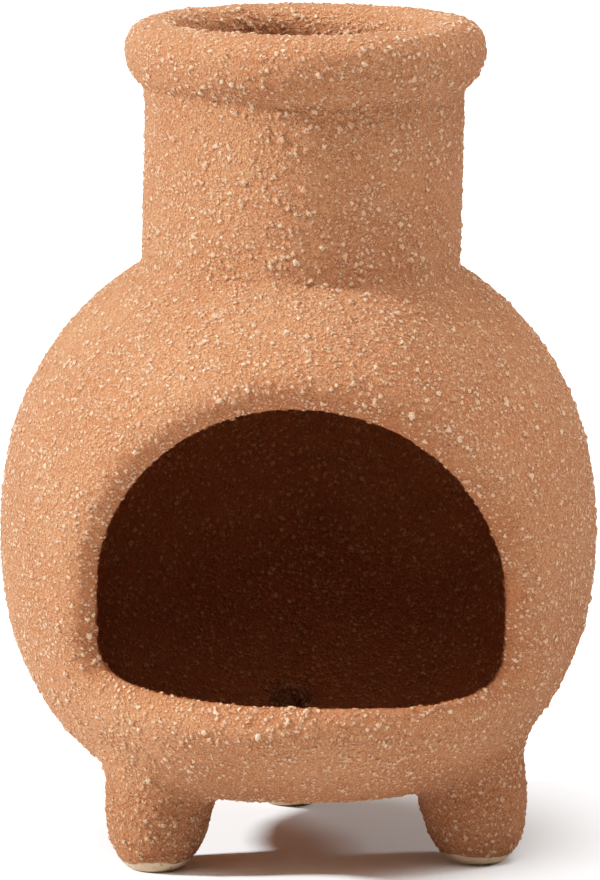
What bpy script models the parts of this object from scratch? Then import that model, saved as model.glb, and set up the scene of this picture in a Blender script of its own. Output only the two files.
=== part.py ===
"""Tabletop chiminea in grogged clay: a ball-shaped firebox with a wide arched mouth,
a short neck with a rolled rim, and three hollow feet that open into the firebox.

Frame: +Z up, the soles stand on Z = 0, and the mouth faces -Y. The origin lies under the
middle of the overall width and depth. The script's units are metres, and its heights
and positions are measured from the foot of the belly's axis.
"""
import math

import bmesh
import bpy
from mathutils import Vector

MM = 0.001

# Clay wall, and the clearance kept between two pieces that touch
WALL = 5.2 * MM
GAP = 0.3 * MM

# The belly's axis stands in front of the origin, because the mouth cuts the belly's front
BELLY_AXIS_Y = -3.5 * MM

# Belly: a superellipse turned about its axis, fuller below its widest height than above
BELLY_RADIUS = 53.5 * MM
BELLY_MIDDLE = 58.1 * MM
BELLY_RISE = 55.6 * MM
BELLY_RISE_POWER = 2.2
BELLY_DROP = 53.5 * MM
BELLY_DROP_POWER = 2.4
UNDERSIDE_HEIGHT = 13.8 * MM
UNDERSIDE_CORNER = 2.6 * MM
BELLY_CAP_RADIUS = 8.0 * MM

# Neck on an axis that leans a little towards +X, with a level rim on top of it
NECK_BASE_X = 0.5 * MM
NECK_BASE_HEIGHT = 106.0 * MM
NECK_LEAN = math.radians(1.3)
NECK_RADIUS = 28.4 * MM
NECK_SINK = 10.0 * MM
RIM_HEIGHT = 144.9 * MM
RIM_ROLL_RADIUS = 26.7 * MM
RIM_ROLL_HALF_WIDTH = 5.35 * MM
RIM_ROLL_UP = 5.1 * MM
RIM_ROLL_DOWN = 6.9 * MM

# Mouth: an arch on a flatter sill, seen along +Y, all sloping down a little towards +X.
# The lip rolls in from the belly's outside.
MOUTH_X = -0.6 * MM
MOUTH_HEIGHT = 51.3 * MM
MOUTH_HALF_WIDTH = 37.0 * MM
MOUTH_ARCH_RISE = 34.6 * MM
MOUTH_ARCH_POWER = 2.0
MOUTH_SILL_DROP = 17.7 * MM
MOUTH_SILL_POWER = 6.0
MOUTH_SLOPE = 0.04
LIP_DEPTH = 8.0 * MM
LIP_ROLL = 7.0 * MM
LIP_INNER_EDGE = 1.0 * MM

# Feet: blunt hollow cones on a circle, set a little off square to the mouth. Their
# angles run anticlockwise from +X, seen from above.
FOOT_NAMES = ("foot_front_right", "foot_rear", "foot_front_left")
FOOT_CIRCLE_X = 1.7 * MM
FOOT_CIRCLE_Y = -0.8 * MM
FOOT_CIRCLE_RADIUS = 33.5 * MM
FIRST_FOOT_ANGLE = math.radians(-26.7)
FOOT_SPLAY = math.radians(4.5)
FOOT_RADIUS = 9.6 * MM
FOOT_TAPER_HEIGHT = 14.0 * MM
FOOT_TAPER_REACH = 15.65 * MM
FOOT_TAPER_POWER = 2.4
FOOT_TOP = 25.0 * MM
FOOT_BORE_RADIUS = 4.1 * MM
FOOT_BORE_FLOOR = 5.5 * MM
FOOT_BORE_TOP = 32.0 * MM

# Facets around each round shape
BELLY_STEPS = 72
NECK_STEPS = 72
FOOT_STEPS = 36
MOUTH_STEPS = 96


def clear_scene():
    for old in list(bpy.data.objects):
        bpy.data.objects.remove(old, do_unlink=True)


def clay(name, colour, roughness):
    """A matte fired clay in the given linear colour."""
    material = bpy.data.materials.new(name)
    material.use_nodes = True
    shader = material.node_tree.nodes["Principled BSDF"]
    shader.inputs["Base Color"].default_value = (*colour, 1.0)
    shader.inputs["Roughness"].default_value = roughness
    shader.inputs["Metallic"].default_value = 0.0
    return material


def loft(name, rings, cycle=False):
    """A closed body skinned over rings of equal length. Its two ends are capped, or
    joined to each other where the rings run in a cycle."""
    shape = bmesh.new()
    loops = [[shape.verts.new(point) for point in ring] for ring in rings]
    pairs = list(zip(loops, loops[1:]))
    if cycle:
        pairs.append((loops[-1], loops[0]))
    else:
        shape.faces.new(loops[0])
        shape.faces.new(loops[-1])
    for lower, upper in pairs:
        for i, corner in enumerate(lower):
            shape.faces.new((lower[i - 1], corner, upper[i], upper[i - 1]))
    bmesh.ops.recalc_face_normals(shape, faces=shape.faces)
    mesh = bpy.data.meshes.new(name)
    shape.to_mesh(mesh)
    shape.free()
    mesh.shade_smooth()
    mesh.set_sharp_from_angle(angle=math.radians(35))
    body = bpy.data.objects.new(name, mesh)
    bpy.context.collection.objects.link(body)
    return body


def circle(x, y, z, radius, steps):
    angles = [math.tau * i / steps for i in range(steps)]
    return [Vector((x + radius * math.cos(a), y + radius * math.sin(a), z)) for a in angles]


def turned(name, outline, steps):
    """A body turned about Z from an outline of (radius, height) points."""
    return loft(name, [circle(0, 0, height, radius, steps) for radius, height in outline])


def turned_ring(name, section, steps):
    """A ring turned about Z from a closed section of (radius, height) points."""
    rings = []
    for i in range(steps):
        angle = math.tau * i / steps
        out = Vector((math.cos(angle), math.sin(angle), 0))
        rings.append([out * radius + Vector((0, 0, height)) for radius, height in section])
    return loft(name, rings, cycle=True)


def as_cutter(body):
    body.hide_render = True
    body.display_type = "WIRE"
    return body


def cut(body, *cutters):
    for cutter in cutters:
        difference = body.modifiers.new("cut_" + cutter.name, "BOOLEAN")
        difference.operation = "DIFFERENCE"
        difference.solver = "EXACT"
        difference.object = cutter


def superellipse_radius(distance, reach, power):
    """Radius of a unit superellipse at a distance from its middle, 0 at its reach."""
    return math.sqrt(max(0.0, 1.0 - (abs(distance) / reach) ** power))


def belly_radius(height, inset):
    """Radius of the belly at a height, with its surface moved inwards by inset."""
    above = height > BELLY_MIDDLE
    reach = (BELLY_RISE if above else BELLY_DROP) - inset
    power = BELLY_RISE_POWER if above else BELLY_DROP_POWER
    return (BELLY_RADIUS - inset) * superellipse_radius(height - BELLY_MIDDLE, reach, power)


def belly_height(radius, inset):
    """Height of the belly's upper surface at a radius."""
    share = radius / (BELLY_RADIUS - inset)
    return BELLY_MIDDLE + (BELLY_RISE - inset) * (1.0 - share**2) ** (1.0 / BELLY_RISE_POWER)


def belly_outline(inset):
    """Outline of the whole belly from its underside to a small flat at its top."""
    floor = UNDERSIDE_HEIGHT + inset
    corner = Vector((belly_radius(floor, inset), floor))
    wall_start = floor + UNDERSIDE_CORNER
    wall = Vector((belly_radius(wall_start, inset), wall_start))
    flat = corner - Vector(((wall - corner).length, 0))
    outline = [Vector((flat.x * share, floor)) for share in (0.5, 1.0)]
    corner_steps = 4
    for i in range(1, corner_steps):
        t = i / corner_steps
        outline.append((1 - t) ** 2 * flat + 2 * t * (1 - t) * corner + t**2 * wall)
    # From here the rings are spaced evenly by angle, seen from the belly's middle
    top = belly_height(BELLY_CAP_RADIUS, inset)
    first = math.asin((wall_start - BELLY_MIDDLE) / BELLY_DROP)
    last = math.asin((top - BELLY_MIDDLE) / BELLY_RISE)
    wall_steps = 20
    for i in range(wall_steps + 1):
        angle = first + (last - first) * i / wall_steps
        height = BELLY_MIDDLE + math.sin(angle) * (BELLY_DROP if angle < 0 else BELLY_RISE)
        outline.append(Vector((belly_radius(height, inset), height)))
    return outline


def place_on_neck_axis(body):
    body.location = (NECK_BASE_X, 0, NECK_BASE_HEIGHT)
    body.rotation_euler = (0, NECK_LEAN, 0)


def place_on_neck_top(body):
    rise = RIM_HEIGHT - NECK_BASE_HEIGHT
    body.location = (NECK_BASE_X + rise * math.tan(NECK_LEAN), 0, RIM_HEIGHT)


def rim_section(growth):
    """The roll's section, heights counted from its middle."""
    steps = 18
    section = []
    for i in range(steps):
        angle = math.tau * i / steps
        half_height = RIM_ROLL_UP if math.sin(angle) > 0 else RIM_ROLL_DOWN
        section.append(
            (
                RIM_ROLL_RADIUS + (RIM_ROLL_HALF_WIDTH + growth) * math.cos(angle),
                (half_height + growth) * math.sin(angle),
            )
        )
    return section


def mouth_edge_point(angle):
    """Point of the mouth's edge, in the middle of the wall's thickness."""
    arch = math.sin(angle) > 0
    reach = MOUTH_ARCH_RISE if arch else MOUTH_SILL_DROP
    power = MOUTH_ARCH_POWER if arch else MOUTH_SILL_POWER
    across = abs(math.cos(angle) / MOUTH_HALF_WIDTH) ** power
    upright = abs(math.sin(angle) / reach) ** power
    size = (across + upright) ** (-1.0 / power)
    u = size * math.cos(angle)
    v = size * math.sin(angle)
    x = MOUTH_X + u
    z = MOUTH_HEIGHT + v - MOUTH_SLOPE * u
    return Vector((x, -math.sqrt(belly_radius(z, WALL / 2) ** 2 - x**2), z))


def belly_normal(point):
    """Outward normal of the belly's middle surface at a point on it."""
    step = 0.05 * MM
    slope = belly_radius(point.z + step, WALL / 2) - belly_radius(point.z - step, WALL / 2)
    out = Vector((point.x, point.y, 0)).normalized()
    return Vector((out.x, out.y, -slope / (2 * step))).normalized()


def mouth_frames():
    """For each station of the mouth's edge: its point, the wall's outward normal, and
    the direction along the wall that leads away from the mouth."""
    stations = [mouth_edge_point(math.tau * i / MOUTH_STEPS) for i in range(MOUTH_STEPS)]
    frames = []
    for i, point in enumerate(stations):
        tangent = (stations[(i + 1) % MOUTH_STEPS] - stations[i - 1]).normalized()
        normal = belly_normal(point)
        frames.append((point, normal, tangent.cross(normal).normalized()))
    return frames


def foot_centre(index, height):
    """Centre of a foot at a height. The feet spread slightly towards the ground."""
    angle = FIRST_FOOT_ANGLE + math.tau * index / len(FOOT_NAMES)
    radius = FOOT_CIRCLE_RADIUS - height * math.tan(FOOT_SPLAY)
    return FOOT_CIRCLE_X + radius * math.cos(angle), FOOT_CIRCLE_Y + radius * math.sin(angle)


def foot_radius(height):
    below_taper = max(0.0, FOOT_TAPER_HEIGHT - height)
    return FOOT_RADIUS * superellipse_radius(below_taper, FOOT_TAPER_REACH, FOOT_TAPER_POWER)


def foot_body(index):
    heights = [FOOT_TAPER_HEIGHT * (i / 9) ** 1.4 for i in range(10)] + [FOOT_TOP]
    rings = [circle(*foot_centre(index, z), z, foot_radius(z), FOOT_STEPS) for z in heights]
    return loft(FOOT_NAMES[index], rings)


def foot_bore(index):
    """The foot's hollow, with a domed bottom, up through the firebox floor."""
    rings = []
    dome_steps = 4
    for i in range(1, dome_steps + 1):
        angle = math.pi / 2 * i / dome_steps
        height = FOOT_BORE_FLOOR + FOOT_BORE_RADIUS * (1 - math.cos(angle))
        radius = FOOT_BORE_RADIUS * math.sin(angle)
        rings.append(circle(*foot_centre(index, height), height, radius, FOOT_STEPS))
    top = foot_centre(index, FOOT_BORE_TOP)
    rings.append(circle(*top, FOOT_BORE_TOP, FOOT_BORE_RADIUS, FOOT_STEPS))
    return as_cutter(loft(f"bore_{FOOT_NAMES[index]}", rings))


def mouth_lip():
    """The edge of the mouth: the outside rolls in over the whole wall, to a small round
    on the inner edge. The section runs along the wall and across it."""
    section = [(LIP_DEPTH, -WALL / 2), (LIP_INNER_EDGE, -WALL / 2)]
    roll_steps = 9
    for i in range(roll_steps + 1):
        angle = math.pi / 2 * i / roll_steps
        along = LIP_ROLL * (1 - math.cos(angle))
        across = LIP_INNER_EDGE + (WALL - LIP_INNER_EDGE) * math.sin(angle)
        section.append((along, across - WALL / 2))
    section.append((LIP_DEPTH, WALL / 2))
    rings = []
    for point, normal, away in mouth_frames():
        rings.append([point + away * along + normal * across for along, across in section])
    return loft("mouth_lip", rings, cycle=True)


def mouth_plug():
    """The clay taken out of the belly for the mouth and its lip."""
    reach = WALL / 2 + 3 * MM
    frames = mouth_frames()
    outer = [p + away * (LIP_DEPTH + GAP) + normal * reach for p, normal, away in frames]
    inner = [p + away * (LIP_DEPTH + GAP) - normal * reach for p, normal, away in frames]
    # The rings shrink towards a point well outside the belly and one in its hollow
    front = Vector((MOUTH_X, -BELLY_RADIUS - 20 * MM, MOUTH_HEIGHT))
    back = Vector((MOUTH_X, -BELLY_RADIUS / 2, MOUTH_HEIGHT))
    front_ring = [point.lerp(front, 0.9) for point in outer]
    back_ring = [point.lerp(back, 0.9) for point in inner]
    return as_cutter(loft("mouth_plug", [front_ring, outer, inner, back_ring]))


def build():
    clear_scene()

    # Firebox
    belly = turned("belly_shell", belly_outline(0.0), BELLY_STEPS)
    hollow = as_cutter(turned("belly_hollow", belly_outline(WALL), BELLY_STEPS))
    clearance = as_cutter(turned("belly_clearance", belly_outline(-GAP), BELLY_STEPS))
    bore_radius = NECK_RADIUS - WALL
    bore_outline = [(bore_radius, -2 * NECK_SINK), (bore_radius, 2 * NECK_SINK)]
    neck_bore = as_cutter(turned("neck_bore", bore_outline, NECK_STEPS))
    place_on_neck_axis(neck_bore)
    cut(belly, hollow, neck_bore, mouth_plug())
    lip = mouth_lip()

    # Neck and rolled rim
    roll_height = RIM_HEIGHT - NECK_BASE_HEIGHT
    neck_section = [
        (bore_radius, -NECK_SINK),
        (NECK_RADIUS, -NECK_SINK),
        (NECK_RADIUS, roll_height),
        (bore_radius, roll_height),
    ]
    neck = turned_ring("neck", neck_section, NECK_STEPS)
    rim = turned_ring("rim", rim_section(0.0), NECK_STEPS)
    rim_clearance = as_cutter(turned_ring("rim_clearance", rim_section(GAP), NECK_STEPS))
    place_on_neck_axis(neck)
    place_on_neck_top(rim)
    place_on_neck_top(rim_clearance)
    cut(neck, clearance, rim_clearance)

    # Feet
    feet = []
    for index in range(len(FOOT_NAMES)):
        foot = foot_body(index)
        bore = foot_bore(index)
        cut(foot, clearance, bore)
        cut(belly, bore)
        feet.append(foot)

    belly_axis = bpy.data.objects.new("belly_axis", None)
    belly_axis.location.y = BELLY_AXIS_Y
    for body in list(bpy.data.objects):
        if body is not belly_axis:
            body.parent = belly_axis
    bpy.context.collection.objects.link(belly_axis)

    # Fired clay: the upper pieces are paler than the lip and the feet
    belly.data.materials.append(clay("belly_clay", (0.58, 0.33, 0.20), 0.92))
    lip.data.materials.append(clay("lip_clay", (0.48, 0.24, 0.14), 0.9))
    neck.data.materials.append(clay("neck_clay", (0.54, 0.30, 0.18), 0.92))
    rim.data.materials.append(clay("rim_clay", (0.56, 0.31, 0.19), 0.9))
    for foot in feet:
        foot.data.materials.append(clay(foot.name + "_clay", (0.46, 0.24, 0.14), 0.92))


build()
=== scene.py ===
import math

import bpy
import numpy as np
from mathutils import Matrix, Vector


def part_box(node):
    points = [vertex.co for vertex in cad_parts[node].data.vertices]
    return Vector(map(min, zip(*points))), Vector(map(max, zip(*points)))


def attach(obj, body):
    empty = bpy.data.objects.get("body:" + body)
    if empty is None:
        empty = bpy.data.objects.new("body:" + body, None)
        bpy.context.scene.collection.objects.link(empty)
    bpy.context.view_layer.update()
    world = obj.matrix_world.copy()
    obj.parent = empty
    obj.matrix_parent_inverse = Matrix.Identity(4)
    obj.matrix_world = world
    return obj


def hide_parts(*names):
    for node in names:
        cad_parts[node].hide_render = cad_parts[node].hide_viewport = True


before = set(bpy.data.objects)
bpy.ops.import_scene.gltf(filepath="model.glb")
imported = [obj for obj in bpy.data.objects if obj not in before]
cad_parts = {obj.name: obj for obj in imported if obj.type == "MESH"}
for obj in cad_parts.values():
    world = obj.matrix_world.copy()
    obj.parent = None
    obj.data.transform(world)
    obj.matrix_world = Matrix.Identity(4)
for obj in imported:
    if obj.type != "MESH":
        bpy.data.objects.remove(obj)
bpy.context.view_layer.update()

import openvdb
from mathutils import Vector

# The clay surface is worked out in millimetres, from the foot of the belly's axis:
# +Z up, the mouth towards -Y. Blender's objects are in metres.
MM = 0.001

# Pieces of the visual model, one for each CAD node, and their material slots
FEET = ("foot_front_right", "foot_rear", "foot_front_left")
PIECES = ("belly_shell", "mouth_lip", "neck", "rim", *FEET)

# Surface mesh: its spacing, and the box that it is worked out in
SPACING = 0.34
GRID_LOW = (-56.0, -54.0, -2.0)
GRID_HIGH = (56.0, 56.0, 153.0)

# Clay wall
WALL = 5.2
HALF_WALL = WALL / 2

# Belly, measured at the middle of the wall
BELLY_RADIUS = 53.5 - HALF_WALL
BELLY_MIDDLE = 58.1
BELLY_RISE = 55.6 - HALF_WALL
BELLY_RISE_POWER = 2.2
BELLY_DROP = 53.5 - HALF_WALL
BELLY_DROP_POWER = 2.4
FLOOR_MIDDLE = 13.8 + HALF_WALL
FLOOR_CORNER = 3.0

# The belly's back touches the CAD belly's box there, which gives the axis's place
AXIS_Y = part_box("belly_shell")[1][1] / MM - (BELLY_RADIUS + HALF_WALL)

# Neck on an axis that leans towards +X, with a level rim on its top
NECK_BASE_X = 0.5
NECK_BASE_HEIGHT = 106.0
NECK_LEAN = math.radians(1.3)
NECK_RADIUS = 28.4 - HALF_WALL
NECK_SINK = 20.0
NECK_FILLET = 0.9
NECK_JOINT = 106.5
RIM_HEIGHT = 144.9
RIM_X = NECK_BASE_X + (RIM_HEIGHT - NECK_BASE_HEIGHT) * math.tan(NECK_LEAN)
RIM_ROLL_RADIUS = 26.7
RIM_ROLL_HALF_WIDTH = 5.35
RIM_ROLL_UP = 5.1
RIM_ROLL_DOWN = 6.9
RIM_TOP_POWER = 2.6
RIM_FILLET = 1.4
RIM_JOINT = RIM_HEIGHT - RIM_ROLL_DOWN

# Mouth: the edge of the opening on the wall's inner side, seen along +Y, all sloping down
# a little towards +X. It is only in the wall in front of MOUTH_BACK.
MOUTH_CENTRE = (-0.64, 51.31)
MOUTH_HALF_WIDTH = 35.4
MOUTH_ARCH_RISE = 34.6
MOUTH_ARCH_POWER = 2.0
MOUTH_SILL_DROP = 16.7
MOUTH_SILL_POWER = 6.2
MOUTH_SLOPE = 0.04
MOUTH_BACK = -5.0
FAR_FROM_MOUTH = 20.0
LIP_ROLL = 7.0
LIP_INNER_EDGE = 1.3
LIP_DEPTH = 8.0

# Feet
FOOT_CIRCLE = (1.7, -0.8)
FOOT_CIRCLE_RADIUS = 33.5
FIRST_FOOT_ANGLE = math.radians(-26.7)
FOOT_SPLAY = math.tan(math.radians(4.5))
FOOT_RADIUS = 9.6
FOOT_TAPER_HEIGHT = 14.0
FOOT_TAPER_REACH = 15.65
FOOT_TAPER_POWER = 2.4
FOOT_FILLET = 3.6
FOOT_REGION = 30.0
SOLE_EDGE = 0.7
BORE_RADIUS = 4.1
BORE_FLOOR = 5.5
BORE_EDGE = 1.2

# Grog grains: the spacing of the places that may hold one, the largest radius, the share
# of the places that do, and an offset that keeps the sizes from lining up. The sand is
# too fine for the mesh, so only the shading shows it.
GRAINS = (
    {"spacing": 1.9, "radius": 0.6, "share": 0.36, "offset": 0.0},
    {"spacing": 1.05, "radius": 0.42, "share": 0.6, "offset": 31.0},
    {"spacing": 0.7, "radius": 0.29, "share": 0.5, "offset": 67.0},
)
SAND = {"spacing": 0.62, "radius": 0.42, "share": 1.0, "offset": 13.0}
GRAIN_STAND = 1.1
GRAIN_TILT = (0.7, 0.5, 0.3)

# Noise makes each grain irregular: its size and its reach, next to the grain's radius.
# Slower noise gathers the grains into clusters, between the fewest and the most.
WARP_SIZE = 1.3
WARP_REACH = 1.5
CLUSTER_SIZE = 7.0
CLUSTER_RANGE = (0.5, 1.5)

# Swell of the clay between the grains: the size and height of each set of bumps
SWELLS = ((22.0, 0.8), (3.4, 0.22), (1.1, 0.2))

# The coat is wiped off the soles up to a line that wavers
SOLE_LINE = (1.1, 0.7)
SOLE_WAVER = 2.4
SOLE_WAVER_SIZE = 5.0

# Clay colours, each channel from 0 to 255
COAT_DEEP = (199, 119, 74)
COAT_PALE = (212, 135, 88)
COAT_MOTTLE = (184, 102, 60)
SAND_PALE = (236, 172, 124)
SPECK_PALE = (246, 192, 148)
# Dark specks of the coat, and the painted shade at each grain's foot
SPECK_AND_SHADE_DARK = (140, 70, 36)
# Painted shade and warm reflected light along the mouth's lip
LIP_PAINTED_SHADE = (188, 104, 60)
GRAIN_STAINED = (238, 164, 120)
GRAIN_PALE = (255, 209, 168)
SOLE_CREAM = (214, 184, 152)

# Sizes of the coat's slow drift of colour, its mottle, its specks, its bumps and its sheen
DRIFT_SIZE = 18.0
MOTTLE_SIZE = 1.5
SPECK_SIZE = 0.26
TOOTH_SIZE = 0.3
SHEEN_SIZE = 0.8
# Width of the painted shade along the lip
LIP_SHADE_WIDTH = 3.5

# Painted shade down the feet and inside the firebox, as factors on the coat's colour outside. Each
# fades in over heights, or over depths from the middle of the wall.
NO_TINT = (1, 1, 1, 1)
FOOT_PAINTED_SHADE = (0.8, 0.76, 0.72, 1)
FOOT_SHADE_HEIGHTS = (24.0, 12.0)
INSIDE_PAINTED_SHADE = (0.62, 0.38, 0.2, 1)
INSIDE_SHADE_DEPTHS = (-1.4, -2.5)
INSIDE_SHADE_HEIGHTS = (136.0, 112.0)

# Floor, as the camera sees it and as it throws light back
FLOOR_REACH = 3.0
FLOOR_SEEN = (0.97, 0.97, 0.97, 1)
FLOOR_BOUNCE = (0.7, 0.7, 0.7, 1)
BACKDROP = (1, 1, 1, 1)

# Camera: turned from the front towards the mouth's left, with its place and its aim
CAMERA_TURN = math.radians(2.1)
CAMERA_AWAY = 1180.0
CAMERA_HEIGHT = 278.0
CAMERA_AIM_HEIGHT = 75.0
CAMERA_LENS = 272.2
CAMERA_SENSOR = 36.0
CAMERA_SHIFT = (0.00227, -0.00614)

# Sky lights, each with its turn from the front towards +X, its height and its half width
# in degrees, and its colour and strength. The side lights are warm, as if off wood.
SKY = (
    {"turn": 0, "height": 84, "width": 38, "glow": (6.0, 6.0, 6.0)},
    {"turn": -62, "height": 20, "width": 40, "glow": (0.62, 0.53, 0.44)},
    {"turn": 112, "height": 20, "width": 50, "glow": (0.32, 0.27, 0.23)},
)
LAMPS = (
    {"name": "key", "turn": -86, "height": 30, "spread": 6, "strength": 5.1},
    {"name": "rim_light", "turn": 104, "height": 30, "spread": 12, "strength": 0.6},
)

# Tone: how strongly it flattens near white, and where its curve has points
TONE_LIFT = 0.9
TONE_POINTS = (0.05, 0.12, 0.25, 0.42, 0.62, 0.82)


# ---------------------------------------------------------------- shape of the clay


def smooth_min(a, b, width):
    """The lower of two distances, rounded off where they come within width."""
    blend = np.maximum(width - np.abs(a - b), 0.0) / width
    return np.minimum(a, b) - blend * blend * (width / 4)


def smooth_max(a, b, width):
    return -smooth_min(-a, -b, width)


def superellipse_distance(radial, along, radius, reach, power):
    """Distance to (radial/radius)^2 + |along/reach|^power = 1, true to first order."""
    tiny = 1e-4
    share = np.abs(along) / reach
    size = np.sqrt((radial / radius) ** 2 + share**power) + tiny
    slope_radial = radial / radius**2 / size
    slope_along = power / 2 * share ** (power - 1) / reach / size
    return (size - 1) / (np.sqrt(slope_radial**2 + slope_along**2) + tiny)


def belly_distance(x, y, z):
    """Distance from the middle of the belly's wall, positive outside."""
    above = z > BELLY_MIDDLE
    reach = np.where(above, BELLY_RISE, BELLY_DROP)
    power = np.where(above, BELLY_RISE_POWER, BELLY_DROP_POWER)
    ball = superellipse_distance(np.hypot(x, y), z - BELLY_MIDDLE, BELLY_RADIUS, reach, power)
    return smooth_max(ball, FLOOR_MIDDLE - z, FLOOR_CORNER)


def wall_distance(x, y, z):
    """Distance from the middle of the belly's and the neck's wall, positive outside."""
    dx = x - NECK_BASE_X
    dz = z - NECK_BASE_HEIGHT
    across = dx * math.cos(NECK_LEAN) - dz * math.sin(NECK_LEAN)
    neck = np.maximum(np.hypot(across, y) - NECK_RADIUS, -NECK_SINK - dz)
    return smooth_min(belly_distance(x, y, z), neck, NECK_FILLET)


def mouth_distance(x, y, z, wall):
    """Distance along the wall from the opening's edge, negative within the opening. The
    cut runs square to the wall, so each point is first moved onto the wall's inside."""
    tiny = 1e-3
    rise = (z - BELLY_MIDDLE) / BELLY_RISE * BELLY_RADIUS
    radius = np.sqrt(x * x + y * y + rise * rise) + tiny
    normal_x = x / radius
    normal_z = rise / radius
    dx = x - normal_x * (wall + HALF_WALL) - MOUTH_CENTRE[0]
    dz = z - normal_z * (wall + HALF_WALL) - MOUTH_CENTRE[1]
    up = dz + MOUTH_SLOPE * dx
    arch = up > 0
    reach = np.where(arch, MOUTH_ARCH_RISE, MOUTH_SILL_DROP)
    power = np.where(arch, MOUTH_ARCH_POWER, MOUTH_SILL_POWER)
    across = np.abs(dx) / MOUTH_HALF_WIDTH
    upright = np.abs(up) / reach
    size = (across**power + upright**power) ** (1 / power) + tiny
    slope_x = (across / size) ** (power - 1) / MOUTH_HALF_WIDTH * np.sign(dx)
    slope_z = (upright / size) ** (power - 1) / reach * np.sign(up)
    # Only the slope within the wall counts, so the part along the wall's normal goes
    along_normal = slope_x * normal_x + slope_z * normal_z
    slope = np.sqrt(np.maximum(slope_x**2 + slope_z**2 - along_normal**2, tiny**2))
    return np.where(y < MOUTH_BACK, (size - 1) / slope, FAR_FROM_MOUTH)


def foot_axis_distance(index, x, y, z):
    angle = FIRST_FOOT_ANGLE + math.tau * index / len(FEET)
    radius = FOOT_CIRCLE_RADIUS - z * FOOT_SPLAY
    centre_x = FOOT_CIRCLE[0] + radius * math.cos(angle)
    centre_y = FOOT_CIRCLE[1] + radius * math.sin(angle)
    return np.hypot(x - centre_x, y - centre_y)


def foot_distance(index, x, y, z):
    taper = np.maximum(FOOT_TAPER_HEIGHT - z, 0.0)
    away = foot_axis_distance(index, x, y, z)
    side = superellipse_distance(away, taper, FOOT_RADIUS, FOOT_TAPER_REACH, FOOT_TAPER_POWER)
    return smooth_max(side, -z, SOLE_EDGE)


def bore_distance(index, x, y, z):
    """Distance from the wall of a foot's hollow, with a domed bottom, negative inside."""
    below = np.minimum(z - BORE_FLOOR - BORE_RADIUS, 0.0)
    return np.hypot(foot_axis_distance(index, x, y, z), below) - BORE_RADIUS


def rim_distance(x, y, z):
    up = z - RIM_HEIGHT
    reach = np.where(up > 0, RIM_ROLL_UP, RIM_ROLL_DOWN)
    power = np.where(up > 0, RIM_TOP_POWER, 2.0)
    away = np.abs(np.hypot(x - RIM_X, y) - RIM_ROLL_RADIUS)
    return superellipse_distance(away, up, RIM_ROLL_HALF_WIDTH, reach, power)


def clay_distance(x, y, z):
    """Distance from the clay's surface, negative within the clay."""
    wall = wall_distance(x, y, z)
    clay = wall - HALF_WALL
    low = z < FOOT_REGION
    low_points = (x[low], y[low], z[low])
    for index in range(len(FEET)):
        clay[low] = smooth_min(clay[low], foot_distance(index, *low_points), FOOT_FILLET)
    clay = smooth_max(clay, -mouth_distance(x, y, z, wall), LIP_ROLL)
    clay = smooth_max(clay, -wall - HALF_WALL, LIP_INNER_EDGE)
    for index in range(len(FEET)):
        clay[low] = smooth_max(clay[low], -bore_distance(index, *low_points), BORE_EDGE)
    clay = np.maximum(clay, z - RIM_HEIGHT)
    return smooth_min(clay, rim_distance(x, y, z), RIM_FILLET)


def clay_surface():
    """Vertices, in millimetres, and quads of the clay's surface."""
    low = np.array(GRID_LOW)
    counts = np.ceil((np.array(GRID_HIGH) - low) / SPACING).astype(int)
    xs, ys, zs = (low[k] + SPACING * np.arange(counts[k]) for k in range(3))
    band = 3 * SPACING
    field = np.empty(counts, dtype=np.float32)
    slab = 16
    for first in range(0, counts[2], slab):
        heights = zs[first : first + slab]
        x, y, z = np.meshgrid(xs, ys, heights, indexing="ij")
        field[:, :, first : first + slab] = np.clip(clay_distance(x, y, z), -band, band)
    grid = openvdb.FloatGrid(background=band)
    grid.copyFromArray(field)
    points, quads = grid.convertToQuads(isovalue=0.0)
    points = low + SPACING * points.astype(np.float64)
    for _ in range(2):
        points = settle(points)
    return points, quads


def surface_slope(function, points):
    """Gradient of a distance function at points."""
    step = 0.02
    slopes = []
    for axis in range(3):
        ahead, behind = points.copy(), points.copy()
        ahead[:, axis] += step
        behind[:, axis] -= step
        slopes.append((function(*ahead.T) - function(*behind.T)) / (2 * step))
    return np.stack(slopes, axis=1)


def settle(points):
    """Moves points onto the exact surface, at most half a grid step."""
    least_slope = 0.3
    slope = surface_slope(clay_distance, points)
    length = np.maximum(np.linalg.norm(slope, axis=1), least_slope)
    move = np.clip(clay_distance(*points.T) / length, -SPACING / 2, SPACING / 2)
    return points - slope * (move / length)[:, None]


# ------------------------------------------------------------- nodes for both trees


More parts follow.
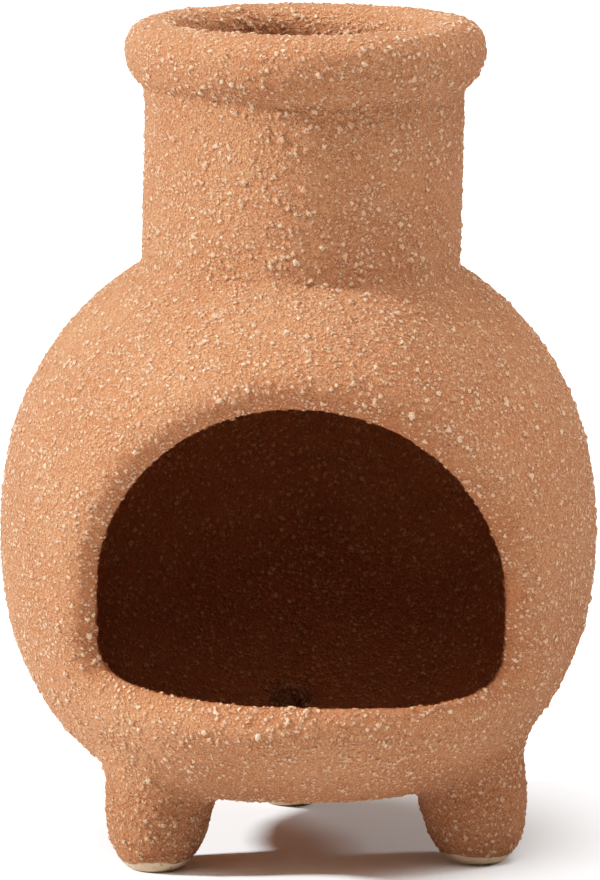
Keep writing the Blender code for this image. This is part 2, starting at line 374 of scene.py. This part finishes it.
class Nodes:
    """Adds nodes to a shader tree or a geometry tree. Most calls return a socket."""

    def __init__(self, tree):
        self.tree = tree

    def node(self, kind, inputs=(), **settings):
        """A new node, with values or links for its inputs."""
        node = self.tree.nodes.new(kind)
        for name, value in settings.items():
            setattr(node, name, value)
        for key, value in dict(inputs).items():
            self.put(node.inputs[key], value)
        return node

    def put(self, socket, value):
        if isinstance(value, bpy.types.NodeSocket):
            self.tree.links.new(value, socket)
        else:
            socket.default_value = value

    def math(self, operation, *values):
        return self.node("ShaderNodeMath", enumerate(values), operation=operation).outputs[0]

    def vector(self, operation, *values):
        return self.node("ShaderNodeVectorMath", enumerate(values), operation=operation).outputs[0]

    def split(self, vector):
        return self.node("ShaderNodeSeparateXYZ", {0: vector}).outputs

    def join(self, value):
        """A vector with the same value along each axis."""
        return self.node("ShaderNodeCombineXYZ", {0: value, 1: value, 2: value}).outputs[0]

    def attribute(self, name):
        """The outputs of a mesh attribute in a shader tree."""
        return self.node("ShaderNodeAttribute", attribute_name=name).outputs

    def noise(self, point, size, detail=2.0, roughness=0.5):
        """Noise whose features are about size millimetres. Its first output is 0 to 1."""
        inputs = {"Vector": point, "Scale": 1 / size, "Detail": detail, "Roughness": roughness}
        return self.node("ShaderNodeTexNoise", inputs).outputs

    def ramp(self, value, low, high, to_low=0.0, to_high=1.0):
        """Smooth step of value between low and high."""
        inputs = {"Value": value, 1: low, 2: high, 3: to_low, 4: to_high}
        return self.node("ShaderNodeMapRange", inputs, interpolation_type="SMOOTHSTEP").outputs[0]

    def mix(self, factor, first, second):
        """Mix of two numbers."""
        return self.node("ShaderNodeMix", {"Factor": factor, "A": first, "B": second}).outputs[0]

    def mix_colour(self, factor, first, second):
        node = self.node("ShaderNodeMix", data_type="RGBA")
        for name, value in (("Factor_Float", factor), ("A_Color", first), ("B_Color", second)):
            socket = next(s for s in node.inputs if s.identifier == name)
            self.put(socket, value)
        return next(s for s in node.outputs if s.identifier == "Result_Color")


def warped(nodes, point, radius):
    """Point moved about by noise, which makes the outline of each grain irregular."""
    noise = nodes.noise(point, radius * WARP_SIZE, 1.0)["Color"]
    shift = nodes.vector("SUBTRACT", noise, (0.5, 0.5, 0.5))
    shift = nodes.vector("MULTIPLY", shift, (radius * WARP_REACH,) * 3)
    return nodes.vector("ADD", point, shift)


def grain_layer(nodes, point, cluster, spacing, radius, share, offset):
    """One size of grain: how far it stands out, in millimetres, how much of it covers the
    clay, from 0 at its edge to 1, and its own random shade."""
    place = nodes.vector("ADD", warped(nodes, point, radius), (offset, offset, offset))
    turn = {"Vector": place, "Rotation": GRAIN_TILT}
    place = nodes.node("ShaderNodeVectorRotate", turn, rotation_type="EULER_XYZ").outputs[0]
    # This kind of distance makes each grain a small crooked cube, so its outline is angular
    grid = {"Vector": place, "Scale": 1 / spacing}
    cells = nodes.node("ShaderNodeTexVoronoi", grid, distance="CHEBYCHEV")
    chance = nodes.split(cells.outputs["Color"])
    # From half the largest radius to all of it
    own_radius = nodes.math("MULTIPLY_ADD", chance[0], radius / 2, radius / 2)
    away = nodes.math("MULTIPLY", cells.outputs["Distance"], spacing)
    dome = nodes.math("SUBTRACT", 1.0, nodes.math("DIVIDE", away, own_radius))
    kept = nodes.math("LESS_THAN", chance[1], nodes.math("MULTIPLY", cluster, share))
    cover = nodes.math("MULTIPLY", nodes.math("MAXIMUM", dome, 0.0), kept)
    height = nodes.math("MULTIPLY", nodes.math("SQRT", cover), own_radius)
    return height, cover, chance[2]


def grains(nodes, point):
    """Height of the grains over the clay, in millimetres, their cover and their shade."""
    cluster = nodes.noise(point, CLUSTER_SIZE, 3.0)[0]
    cluster = nodes.ramp(cluster, 0.3, 0.7, *CLUSTER_RANGE)
    height, cover, shade = 0.0, 0.0, 0.0
    for layer in GRAINS:
        rise, own_cover, own_shade = grain_layer(nodes, point, cluster, **layer)
        shade = nodes.mix(nodes.math("GREATER_THAN", rise, height), shade, own_shade)
        height = nodes.math("MAXIMUM", height, rise)
        cover = nodes.math("MAXIMUM", cover, own_cover)
    return height, cover, shade


def bare_clay(nodes, point):
    """1 where the coat is wiped off the soles, 0 where it covers the clay."""
    height = nodes.split(point)[2]
    waver = nodes.noise(point, SOLE_WAVER_SIZE)[0]
    return nodes.ramp(nodes.math("MULTIPLY_ADD", waver, -SOLE_WAVER, height), *SOLE_LINE)


def clay_swell(nodes, point):
    """Uneven swell of the clay between the grains, in millimetres."""
    total = 0.0
    for size, amount in SWELLS:
        bumps = nodes.math("SUBTRACT", nodes.noise(point, size)[0], 0.5)
        total = nodes.math("MULTIPLY_ADD", bumps, amount, total)
    return total


# ------------------------------------------------------------------ mesh of the clay


def relief():
    """Geometry nodes that raise the grains and the clay's swell out of the smooth shape."""
    tree = bpy.data.node_groups.new("clay_relief", "GeometryNodeTree")
    tree.interface.new_socket("Geometry", in_out="INPUT", socket_type="NodeSocketGeometry")
    tree.interface.new_socket("Geometry", in_out="OUTPUT", socket_type="NodeSocketGeometry")
    nodes = Nodes(tree)
    start = nodes.node("NodeGroupInput")
    end = nodes.node("NodeGroupOutput")
    name = {"Name": "clay_point"}
    read = nodes.node("GeometryNodeInputNamedAttribute", name, data_type="FLOAT_VECTOR")
    point = read.outputs[0]
    grain_height = nodes.math("MULTIPLY", grains(nodes, point)[0], GRAIN_STAND)
    coat = nodes.math("SUBTRACT", 1.0, bare_clay(nodes, point))
    height = nodes.math("MULTIPLY", nodes.math("ADD", grain_height, clay_swell(nodes, point)), coat)
    normal = nodes.node("GeometryNodeInputNormal").outputs[0]
    offset = nodes.vector("SCALE", normal)
    nodes.put(offset.node.inputs["Scale"], nodes.math("MULTIPLY", height, MM))
    moved = nodes.node("GeometryNodeSetPosition", {"Geometry": start.outputs[0], "Offset": offset})
    nodes.put(end.inputs[0], moved.outputs[0])
    return tree


def new_mesh(name, points, quads):
    mesh = bpy.data.meshes.new(name)
    mesh.vertices.add(len(points))
    mesh.vertices.foreach_set("co", points.astype(np.float32).ravel())
    mesh.loops.add(quads.size)
    mesh.loops.foreach_set("vertex_index", quads.astype(np.int32).ravel())
    mesh.polygons.add(len(quads))
    mesh.polygons.foreach_set("loop_start", np.arange(0, quads.size, 4, dtype=np.int32))
    mesh.update(calc_edges=True)
    mesh.shade_smooth()
    return mesh


def set_attribute(mesh, name, kind, values):
    layer = mesh.attributes.new(name, kind, "POINT")
    field = "vector" if kind == "FLOAT_VECTOR" else "value"
    layer.data.foreach_set(field, np.asarray(values, dtype=np.float32).ravel())


def relief_applied(points, quads):
    """Vertices and normals, in metres, of the clay with its relief."""
    mesh = new_mesh("clay", points * MM, quads)
    set_attribute(mesh, "clay_point", "FLOAT_VECTOR", points)
    body = bpy.data.objects.new("clay", mesh)
    bpy.context.collection.objects.link(body)
    body.modifiers.new("relief", "NODES").node_group = relief()
    shown = body.evaluated_get(bpy.context.evaluated_depsgraph_get()).data
    raised = np.empty(len(points) * 3, dtype=np.float32)
    shown.vertices.foreach_get("co", raised)
    normals = np.empty(len(points) * 3, dtype=np.float32)
    shown.vertex_normals.foreach_get("vector", normals)
    bpy.data.objects.remove(body)
    bpy.data.meshes.remove(mesh)
    return raised.reshape(-1, 3), normals.reshape(-1, 3)


def piece_of(points):
    """Which piece each point of the surface belongs to, as an index into PIECES."""
    x, y, z = points.T
    wall = wall_distance(x, y, z)
    outside = wall - HALF_WALL
    owner = np.zeros(len(points), dtype=int)
    owner[mouth_distance(x, y, z, wall) < LIP_DEPTH] = PIECES.index("mouth_lip")
    owner[z > NECK_JOINT] = PIECES.index("neck")
    owner[z > RIM_JOINT] = PIECES.index("rim")
    for index, foot in enumerate(FEET):
        inside_foot = foot_distance(index, x, y, z) < outside
        owner[inside_foot & (outside > 0) & (z < FOOT_REGION)] = PIECES.index(foot)
    return owner


def make_pieces(material):
    points, quads = clay_surface()
    raised, normals = relief_applied(points, quads)
    owner = piece_of(points[quads].mean(axis=1))
    raised[:, 1] += AXIS_Y * MM
    wall = wall_distance(*points.T)
    lip = mouth_distance(*points.T, wall)
    for index, node in enumerate(PIECES):
        used, own_quads = np.unique(quads[owner == index], return_inverse=True)
        mesh = new_mesh("clay_" + node, raised[used], own_quads.reshape(-1, 4))
        set_attribute(mesh, "clay_point", "FLOAT_VECTOR", points[used])
        set_attribute(mesh, "lip", "FLOAT", lip[used])
        set_attribute(mesh, "wall", "FLOAT", wall[used])
        # The normals at a joint are the whole surface's, so no seam shows in the shading
        mesh.normals_split_custom_set_from_vertices(normals[used])
        mesh.materials.append(material)
        piece = bpy.data.objects.new("clay_" + node, mesh)
        bpy.context.collection.objects.link(piece)
        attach(piece, "root")
        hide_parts(node)


# ------------------------------------------------------------------------- materials


def srgb(red, green, blue):
    """Linear colour from 0 to 255 values."""
    values = []
    for value in (red, green, blue):
        share = value / 255
        values.append(share / 12.92 if share <= 0.04045 else ((share + 0.055) / 1.055) ** 2.4)
    return (*values, 1.0)


def coat_colour(nodes, point, sand):
    """The coat between the grains: a slow drift, a mottle, pale sand and fine specks, and painted
    shade along the lip.
    """
    drift = nodes.ramp(nodes.noise(point, DRIFT_SIZE)[0], 0.3, 0.7)
    colour = nodes.mix_colour(drift, srgb(*COAT_DEEP), srgb(*COAT_PALE))
    mottle = nodes.ramp(nodes.noise(point, MOTTLE_SIZE, 3.0)[0], 0.35, 0.7, 0.0, 0.5)
    colour = nodes.mix_colour(mottle, colour, srgb(*COAT_MOTTLE))
    crumb = nodes.ramp(sand, 0.1, 0.5, 0.0, 0.4)
    colour = nodes.mix_colour(crumb, colour, srgb(*SAND_PALE))
    speck = nodes.noise(point, SPECK_SIZE)[0]
    pale_speck = nodes.ramp(speck, 0.56, 0.66, 0.0, 0.35)
    dark_speck = nodes.ramp(speck, 0.44, 0.34, 0.0, 0.85)
    colour = nodes.mix_colour(pale_speck, colour, srgb(*SPECK_PALE))
    colour = nodes.mix_colour(dark_speck, colour, srgb(*SPECK_AND_SHADE_DARK))
    # Darker and redder along the lip: painted shade, warmed by painted light reflected off the clay
    lip_shade = nodes.ramp(nodes.attribute("lip")["Fac"], LIP_SHADE_WIDTH, 0.0, 0.0, 0.45)
    return nodes.mix_colour(lip_shade, colour, srgb(*LIP_PAINTED_SHADE))


def with_grains(nodes, colour, height, cover, shade):
    """Each grain has a ring of painted shade at its foot, in place of the shadow it casts. The
    larger ones are paler, and the smallest are half stained by the coat."""
    # Painted shade: a dark ring at each grain's foot, standing in for its shadow
    grain_foot_shade = nodes.ramp(cover, 0.0, 0.06, 0.0, 0.5)
    colour = nodes.mix_colour(grain_foot_shade, colour, srgb(*SPECK_AND_SHADE_DARK))
    grain_colour = nodes.mix_colour(shade, srgb(*GRAIN_STAINED), srgb(*GRAIN_PALE))
    strength = nodes.ramp(height, 0.06, 0.3, 0.75, 1.0)
    grain = nodes.math("MULTIPLY", nodes.ramp(cover, 0.08, 0.34), strength)
    return nodes.mix_colour(grain, colour, grain_colour)


def tinted(nodes, colour, amount, tint):
    return nodes.vector("MULTIPLY", colour, nodes.mix_colour(amount, NO_TINT, tint))


def clay_colour(nodes, point, height, cover, shade, sand):
    """Colour of the coat with its grains and bare soles, and painted shade down the feet and
    inside.
    """
    colour = coat_colour(nodes, point, sand)
    colour = with_grains(nodes, colour, height, cover, shade)
    colour = nodes.mix_colour(bare_clay(nodes, point), colour, srgb(*SOLE_CREAM))
    level = nodes.split(point)[2]
    # Painted shade: darker and a little redder down the feet, towards the floor
    colour = tinted(nodes, colour, nodes.ramp(level, *FOOT_SHADE_HEIGHTS), FOOT_PAINTED_SHADE)
    # Painted shade: darker and redder inside the firebox
    depth = nodes.ramp(nodes.attribute("wall")["Fac"], *INSIDE_SHADE_DEPTHS)
    inside_shade = nodes.math("MULTIPLY", depth, nodes.ramp(level, *INSIDE_SHADE_HEIGHTS))
    return tinted(nodes, colour, inside_shade, INSIDE_PAINTED_SHADE)


def clay_material():
    material = bpy.data.materials.new("coated_clay")
    material.use_nodes = True
    tree = material.node_tree
    nodes = Nodes(tree)
    shader = tree.nodes["Principled BSDF"]
    point = nodes.attribute("clay_point")["Vector"]
    height, cover, shade = grains(nodes, point)
    sand_height, sand_cover, _ = grain_layer(nodes, point, 1.0, **SAND)
    colour = clay_colour(nodes, point, height, cover, shade, sand_cover)
    nodes.put(shader.inputs["Base Color"], colour)
    rough = nodes.ramp(nodes.noise(point, SHEEN_SIZE)[0], 0.3, 0.7, 0.84, 0.98)
    nodes.put(shader.inputs["Roughness"], rough)
    shader.inputs["Specular IOR Level"].default_value = 0.2

    # Sandy tooth of the coat, and the edges of the grains
    fine = nodes.noise(point, TOOTH_SIZE, 3.0, 0.7)[0]
    tooth = nodes.math("MULTIPLY_ADD", fine, 1.1, nodes.math("MULTIPLY", sand_height, 2.4))
    coat = nodes.math("SUBTRACT", 1.0, bare_clay(nodes, point))
    tooth = nodes.math("MULTIPLY", tooth, coat)
    relief_height = nodes.math("MULTIPLY_ADD", height, GRAIN_STAND, tooth)
    bump = nodes.node("ShaderNodeBump", {"Height": relief_height, "Distance": MM, "Strength": 1.0})
    nodes.put(shader.inputs["Normal"], bump.outputs[0])
    return material


# ------------------------------------------------------------------- floor, light, view


def make_floor():
    """White paper, which throws less light back up at the clay than the camera sees."""
    mesh = bpy.data.meshes.new("floor")
    reach = FLOOR_REACH
    corners = [(-reach, -reach, 0), (reach, -reach, 0), (reach, reach, 0), (-reach, reach, 0)]
    mesh.from_pydata(corners, [], [(0, 1, 2, 3)])
    floor = bpy.data.objects.new("floor", mesh)
    bpy.context.collection.objects.link(floor)
    paper = bpy.data.materials.new("paper")
    paper.use_nodes = True
    nodes = Nodes(paper.node_tree)
    shader = paper.node_tree.nodes["Principled BSDF"]
    seen = nodes.node("ShaderNodeLightPath").outputs["Is Camera Ray"]
    nodes.put(shader.inputs["Base Color"], nodes.mix_colour(seen, FLOOR_BOUNCE, FLOOR_SEEN))
    shader.inputs["Roughness"].default_value = 0.9
    mesh.materials.append(paper)


def direction(turn, height):
    """Unit vector from a turn away from the front and a height, both in degrees."""
    turn, height = math.radians(turn), math.radians(height)
    across = math.cos(height)
    return Vector((math.sin(turn) * across, -math.cos(turn) * across, math.sin(height)))


def make_sky():
    """A world with a soft light at the top and weak ones in front at the left and behind at
    the right. Past the floor's edge the camera sees plain white instead."""
    world = bpy.data.worlds.new("studio")
    world.use_nodes = True
    nodes = Nodes(world.node_tree)
    ray = nodes.node("ShaderNodeTexCoord").outputs["Generated"]
    total = (0.0, 0.0, 0.0)
    for light in SKY:
        towards = tuple(direction(light["turn"], light["height"]))
        facing = nodes.node("ShaderNodeVectorMath", {0: ray, 1: towards}, operation="DOT_PRODUCT")
        edge = math.cos(math.radians(light["width"]))
        share = nodes.ramp(facing.outputs["Value"], edge, 1.0)
        glow = nodes.vector("MULTIPLY", nodes.join(share), light["glow"])
        total = nodes.vector("ADD", total, glow)
    seen = nodes.node("ShaderNodeLightPath").outputs["Is Camera Ray"]
    shown = nodes.mix_colour(seen, total, BACKDROP)
    nodes.put(world.node_tree.nodes["Background"].inputs["Color"], shown)
    bpy.context.scene.world = world


def make_lamps():
    """The key from the left, and a weak lamp at the right that edges the clay's far side."""
    for settings in LAMPS:
        light = bpy.data.lights.new(settings["name"], "SUN")
        light.energy = settings["strength"]
        light.angle = math.radians(settings["spread"])
        lamp = bpy.data.objects.new(settings["name"], light)
        towards = direction(settings["turn"], settings["height"])
        lamp.rotation_euler = towards.to_track_quat("Z", "Y").to_euler()
        bpy.context.collection.objects.link(lamp)


def make_camera():
    camera = bpy.data.objects.new("camera", bpy.data.cameras.new("camera"))
    out = Vector((-math.sin(CAMERA_TURN), -math.cos(CAMERA_TURN), 0))
    place = out * CAMERA_AWAY + Vector((0, 0, CAMERA_HEIGHT))
    aim = Vector((0, 0, CAMERA_AIM_HEIGHT))
    camera.rotation_euler = (aim - place).to_track_quat("-Z", "Y").to_euler()
    camera.location = (place + Vector((0, AXIS_Y, 0))) * MM
    camera.data.lens = CAMERA_LENS
    camera.data.sensor_width = CAMERA_SENSOR
    camera.data.shift_x, camera.data.shift_y = CAMERA_SHIFT
    camera.data.clip_start = 0.05
    bpy.context.collection.objects.link(camera)
    bpy.context.scene.camera = camera


def set_tone():
    """A print-like tone: each channel flattens as it nears white, so lit clay turns paler."""
    view = bpy.context.scene.view_settings
    view.view_transform = "Standard"
    view.use_curve_mapping = True
    curve = view.curve_mapping.curves[3]
    for share in TONE_POINTS:
        curve.points.new(share, (1 + TONE_LIFT) * share / (1 + TONE_LIFT * share))
    view.curve_mapping.update()


make_pieces(clay_material())
make_floor()
make_sky()
make_lamps()
make_camera()
set_tone()
